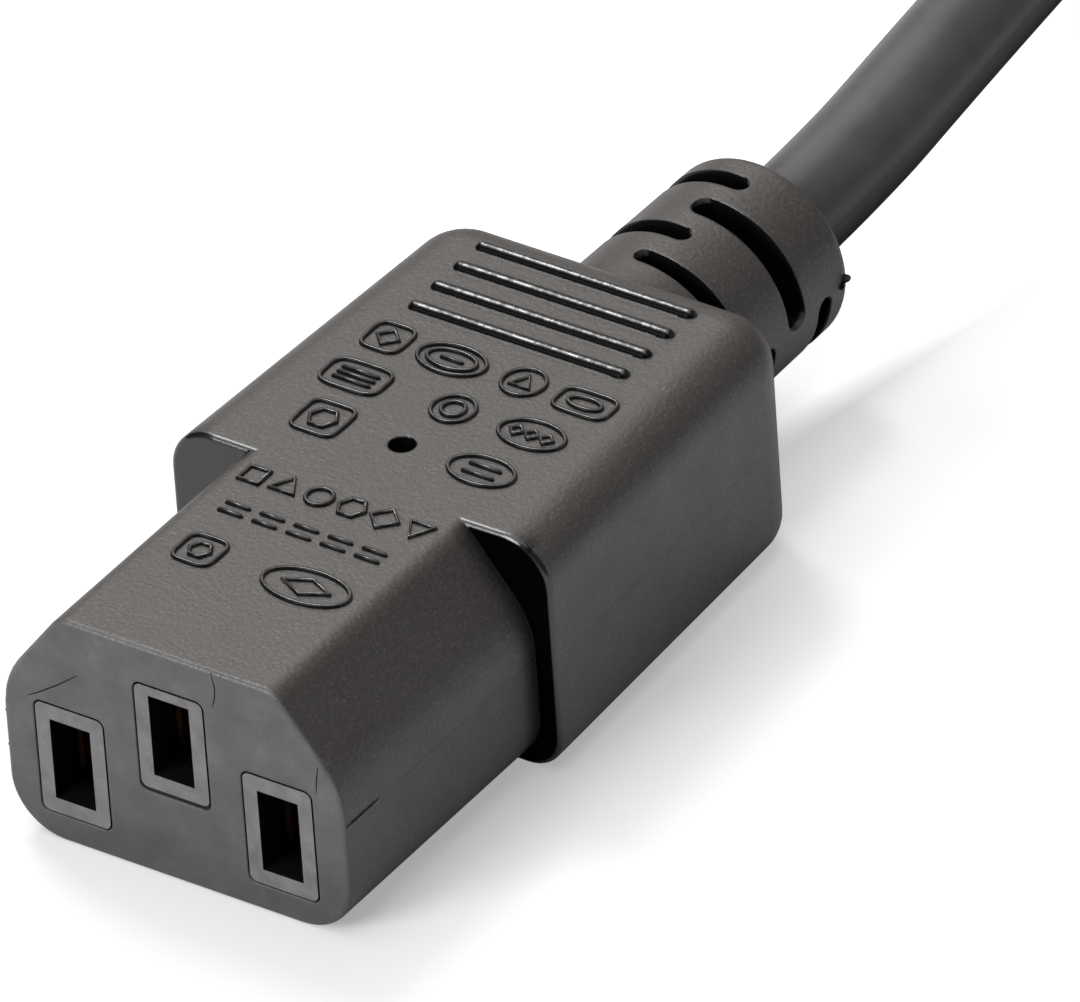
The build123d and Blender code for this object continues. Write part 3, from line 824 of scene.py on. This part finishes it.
def dress_socket(tag, place):
    """Makes a socket's moulded marks, and its parting line with seams and scraps of flash. Returns both."""
    bm = bmesh.new()
    for points, closed in moulded_marks():
        raise_stroke(bm, points, closed, on_top, STROKE_WIDTH, STROKE_HEIGHT)
    marks = finish_mesh(f"moulded_marks_{tag}", bm, POLISHED, place)
    bm = bmesh.new()
    for points, width, height in flash_line():
        raise_stroke(bm, points, False, on_side, width, height)
    for points in face_seams():
        raise_stroke(bm, points, False, on_face, SEAM_WIDTH, SEAM_HEIGHT)
    for scrap in FLASH_SCRAPS:
        nib(bm, *scrap)
    flash = finish_mesh(f"mould_flash_{tag}", bm, POLISHED, place, smooth=False)
    return [marks, flash]


dress_socket("a", PLACE_A)
details_b = dress_socket("b", PLACE_B)


# Floor, light and world

# How brightly the floor glows for the camera, which is how bright its deepest shadow looks: at places
# along Y, and under socket A's cord, where the photograph shows nearly no shadow
SHADOW_SPAN = (-30, 45)
SHADOW_LEVELS = [(-30, 0.35), (0, 0.38), (12, 0.45), (25, 0.43), (40, 0.42)]
UNDER_CORD_LEVEL = 0.92

# The painted light that lifts the shadow under the cord ends at a blurred line to the right of it. The line
# slants to the right from a place along Y, and the painted light fades in over a stretch of Y.
CLEAR_EDGE = (3.8, 6.2)
CLEAR_SLANT = 0.16
CLEAR_SLANT_FROM = 22.5
CLEAR_START = (18, 28)

FLOOR_TONE = 0.64
FLOOR_TONE_FOR_CAMERA = 0.55

# In metres
FLOOR_HALF_WIDTH = 6.0
LIGHTS_AIM_AT = (0, 0, 0.008)


def floor_glow(tree):
    """How brightly the floor glows for the camera, from place to place."""
    x, y = object_place(tree)[:2]
    start, end = SHADOW_SPAN
    stops = [((place - start) / (end - start), (shade, shade, shade)) for place, shade in SHADOW_LEVELS]
    level = ramp(tree, over_span(tree, y, SHADOW_SPAN, 0.0, 1.0), stops)
    along = math_node(tree, "SUBTRACT", y, CLEAR_SLANT_FROM * MM)
    across = math_node(tree, "MULTIPLY_ADD", along, -CLEAR_SLANT, x)
    inside = over_span(tree, across, CLEAR_EDGE, 1.0, 0.0)
    started = over_span(tree, y, CLEAR_START, 0.0, 1.0)
    return mixed(tree, product(tree, inside, started), level, UNDER_CORD_LEVEL)


def make_floor():
    """A white floor that glows for the camera alone, so that all but the object's shadow is pure white."""
    mesh = bpy.data.meshes.new("floor")
    half = FLOOR_HALF_WIDTH
    corners = [(-half, -half, 0), (half, -half, 0), (half, half, 0), (-half, half, 0)]
    mesh.from_pydata(corners, [], [(0, 1, 2, 3)])
    floor = bpy.data.objects.new("floor", mesh)
    bpy.context.scene.collection.objects.link(floor)
    material, tree, shader = new_material("floor_white")
    tree.nodes.remove(shader)
    diffuse = tree.nodes.new("ShaderNodeBsdfDiffuse")
    glow = tree.nodes.new("ShaderNodeEmission")
    total = tree.nodes.new("ShaderNodeAddShader")
    for_camera = tree.nodes.new("ShaderNodeLightPath").outputs["Is Camera Ray"]
    tree.links.new(mixed(tree, for_camera, FLOOR_TONE, FLOOR_TONE_FOR_CAMERA), diffuse.inputs["Color"])
    tree.links.new(product(tree, for_camera, floor_glow(tree)), glow.inputs["Strength"])
    tree.links.new(diffuse.outputs[0], total.inputs[0])
    tree.links.new(glow.outputs[0], total.inputs[1])
    tree.links.new(total.outputs[0], tree.nodes["Material Output"].inputs["Surface"])
    mesh.materials.append(material)


def make_area_light(name, at, size, power, colour=(1, 1, 1)):
    """A round lamp at a place in metres that shines at the middle of the socket."""
    data = bpy.data.lights.new(name, "AREA")
    data.shape = "DISK"
    data.size = size
    data.energy = power
    data.color = colour
    light = bpy.data.objects.new(name, data)
    bpy.context.scene.collection.objects.link(light)
    light.location = at
    light.rotation_mode = "QUATERNION"
    light.rotation_quaternion = (Vector(LIGHTS_AIM_AT) - Vector(at)).to_track_quat("-Z", "Y")


def make_world(strength):
    """A plain white world that lights the scene evenly."""
    world = bpy.data.worlds.new("studio")
    world.use_nodes = True
    background = world.node_tree.nodes["Background"]
    background.inputs["Color"].default_value = (1, 1, 1, 1)
    background.inputs["Strength"].default_value = strength
    bpy.context.scene.world = world


make_floor()
make_area_light("back_softbox", at=(-0.84, 1.16, 1.40), size=1.78, power=8.8, colour=(1.0, 0.965, 0.94))
make_area_light("top_softbox", at=(-0.2, -0.25, 1.75), size=2.0, power=19)
make_area_light("key", at=(-0.92, 0.57, 1.56), size=0.5, power=12)
make_area_light("front_fill", at=(-0.45, -1.3, 0.8), size=0.8, power=19)
make_world(strength=0.12)

bpy.context.scene.view_settings.view_transform = "Standard"
